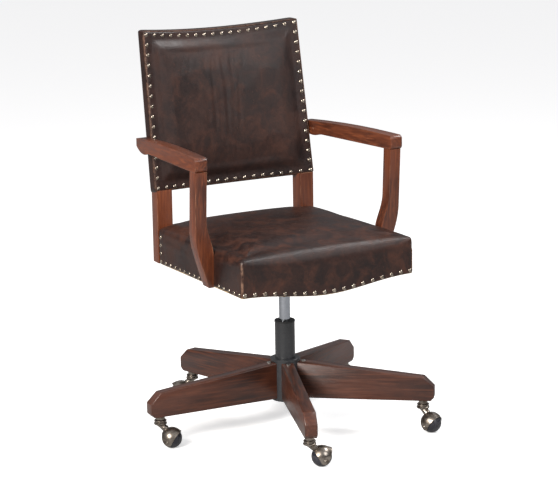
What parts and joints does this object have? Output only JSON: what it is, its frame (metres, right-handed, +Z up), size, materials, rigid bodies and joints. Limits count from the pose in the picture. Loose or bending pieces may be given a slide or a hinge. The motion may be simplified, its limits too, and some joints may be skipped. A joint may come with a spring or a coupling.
{
  "type": "swivel office chair",
  "caption": "Swivel desk chair with a leather seat and raked back, nailed edges, wooden arms, a gas lift and a wooden star base on ball casters.",
  "frame": {"origin": "on the swivel axis, at the floor", "axes": "+Z up, the sitter faces -Y, +X is the sitter's left hand"},
  "size_m": [0.71, 0.737, 0.989],
  "materials": {
    "dark_wood": "satin lacquer, worn edges",
    "red_wood": "satin lacquer, worn edges",
    "frame_wood": "sawn",
    "black_steel": "satin black powder coat",
    "black_plastic": "moulded",
    "chrome": "polished",
    "zinc_steel": "zinc plated",
    "aged_brass": "antiqued",
    "ball_black": "semi gloss",
    "rubber": "matte",
    "leather": "waxed pull-up leather",
    "foam": "foam",
    "black_cloth": "woven",
    "nail_metal": "antique nickel"
  },
  "bodies": {
    "base": {"hub": "black_steel", "leg_1": "dark_wood", "leg_2": "dark_wood", "leg_3": "dark_wood", "leg_4": "dark_wood", "leg_5": "dark_wood", "leg_screws": "zinc_steel", "caster_sockets": "zinc_steel", "caster_stems": "aged_brass", "outer_column": "black_steel", "column_bush": "black_plastic", "thrust_bearing": "zinc_steel"},
    "rod": {"piston_rod": "chrome", "retaining_clip": "zinc_steel", "bump_rubber": "rubber"},
    "lift": {"gas_cylinder": "chrome", "mechanism_housing": "black_steel", "tilt_shaft": "zinc_steel", "tension_spring": "zinc_steel"},
    "pin": {"release_pin": "zinc_steel"},
    "lever": {"height_lever": "zinc_steel", "lever_grip": "black_plastic"},
    "knob": {"tension_knob": "black_plastic"},
    "spring_nut": {"spring_plate": "zinc_steel"},
    "seat": {"seat_plate": "black_steel", "plate_screws": "zinc_steel", "mechanism_cleats": "frame_wood", "seat_rails": "frame_wood", "corner_blocks": "frame_wood", "seat_webbing": "black_cloth", "seat_foam": "foam", "seat_cover": "leather", "dust_cover": "black_cloth", "seat_nails": "nail_metal", "left_rear_post": "red_wood", "right_rear_post": "red_wood", "back_board": "frame_wood", "back_pad": "foam", "back_cover": "leather", "back_nails": "nail_metal", "left_arm": "red_wood", "right_arm": "red_wood", "left_arm_post": "red_wood", "right_arm_post": "red_wood", "arm_screws": "zinc_steel"},
    "hood_1": {"caster_hood_1": "aged_brass", "caster_axle_1": "aged_brass"},
    "ball_1": {"caster_ball_1": "ball_black"},
    "hood_2": {"caster_hood_2": "aged_brass", "caster_axle_2": "aged_brass"},
    "ball_2": {"caster_ball_2": "ball_black"},
    "hood_3": {"caster_hood_3": "aged_brass", "caster_axle_3": "aged_brass"},
    "ball_3": {"caster_ball_3": "ball_black"},
    "hood_4": {"caster_hood_4": "aged_brass", "caster_axle_4": "aged_brass"},
    "ball_4": {"caster_ball_4": "ball_black"},
    "hood_5": {"caster_hood_5": "aged_brass", "caster_axle_5": "aged_brass"},
    "ball_5": {"caster_ball_5": "ball_black"}
  },
  "joints": [
    {"name": "swivel", "type": "hinge", "parent": "base", "child": "rod", "pos_m": [0, 0, 0.08], "axis": [0, 0, 1], "continuous": true},
    {"name": "height", "type": "slide", "parent": "rod", "child": "lift", "axis": [0, 0, 1], "range_m": [-0.068, 0.022]},
    {"name": "tilt", "type": "hinge", "parent": "lift", "child": "seat", "pos_m": [0, -0.04, 0.384], "axis": [-1, 0, 0], "range_deg": [0, 10], "stiffness_Nm_per_rad": 250, "springref_deg": -14.32, "deforming": ["tension_spring"]},
    {"name": "lever_lift", "type": "hinge", "parent": "lift", "child": "lever", "pos_m": [-0.03, 0, 0.384], "axis": [0, 1, 0], "range_deg": [0, 6], "stiffness_Nm_per_rad": 3, "springref_deg": -5.73},
    {"name": "pin_press", "type": "slide", "parent": "lift", "child": "pin", "axis": [0, 0, -1], "range_m": [0, 0.0032]},
    {"name": "tension", "type": "hinge", "parent": "lift", "child": "knob", "pos_m": [0, 0.095, 0.34], "axis": [0, 0, 1], "range_deg": [-720, 360]},
    {"name": "nut_rise", "type": "slide", "parent": "lift", "child": "spring_nut", "axis": [0, 0, 1], "range_m": [-0.004, 0.002], "deforming": ["tension_spring"]},
    {"name": "caster_swivel_1", "type": "hinge", "parent": "base", "child": "hood_1", "pos_m": [-0.12605, -0.3233, 0.06], "axis": [0, 0, 1], "continuous": true},
    {"name": "ball_roll_1", "type": "hinge", "parent": "hood_1", "child": "ball_1", "pos_m": [-0.0966, -0.32902, 0.025], "axis": [-0.1866, -0.9602, -0.2079], "continuous": true},
    {"name": "caster_swivel_2", "type": "hinge", "parent": "base", "child": "hood_2", "pos_m": [0.26852, -0.21978, 0.06], "axis": [0, 0, 1], "continuous": true},
    {"name": "ball_roll_2", "type": "hinge", "parent": "hood_2", "child": "ball_2", "pos_m": [0.27373, -0.24933, 0.025], "axis": [-0.9633, -0.1699, -0.2079], "continuous": true},
    {"name": "caster_swivel_3", "type": "hinge", "parent": "base", "child": "hood_3", "pos_m": [0.292, 0.18746, 0.06], "axis": [0, 0, 1], "continuous": true},
    {"name": "ball_roll_3", "type": "hinge", "parent": "hood_3", "child": "ball_3", "pos_m": [0.30609, 0.21395, 0.025], "axis": [0.8637, -0.4592, -0.2079], "continuous": true},
    {"name": "caster_swivel_4", "type": "hinge", "parent": "base", "child": "hood_4", "pos_m": [-0.08805, 0.33564, 0.06], "axis": [0, 0, 1], "continuous": true},
    {"name": "ball_roll_4", "type": "hinge", "parent": "hood_4", "child": "ball_4", "pos_m": [-0.11403, 0.35064, 0.025], "axis": [0.4891, 0.8471, -0.2079], "continuous": true},
    {"name": "caster_swivel_5", "type": "hinge", "parent": "base", "child": "hood_5", "pos_m": [-0.34642, 0.01997, 0.06], "axis": [0, 0, 1], "continuous": true},
    {"name": "ball_roll_5", "type": "hinge", "parent": "hood_5", "child": "ball_5", "pos_m": [-0.32795, -0.00367, 0.025], "axis": [-0.7708, -0.6022, -0.2079], "continuous": true}
  ],
  "couplings": [
    {"joint": "pin_press", "follows": "lever_lift", "m_per_rad": 0.03},
    {"joint": "nut_rise", "follows": "tension", "m_per_rad": 0.00031831}
  ]
}
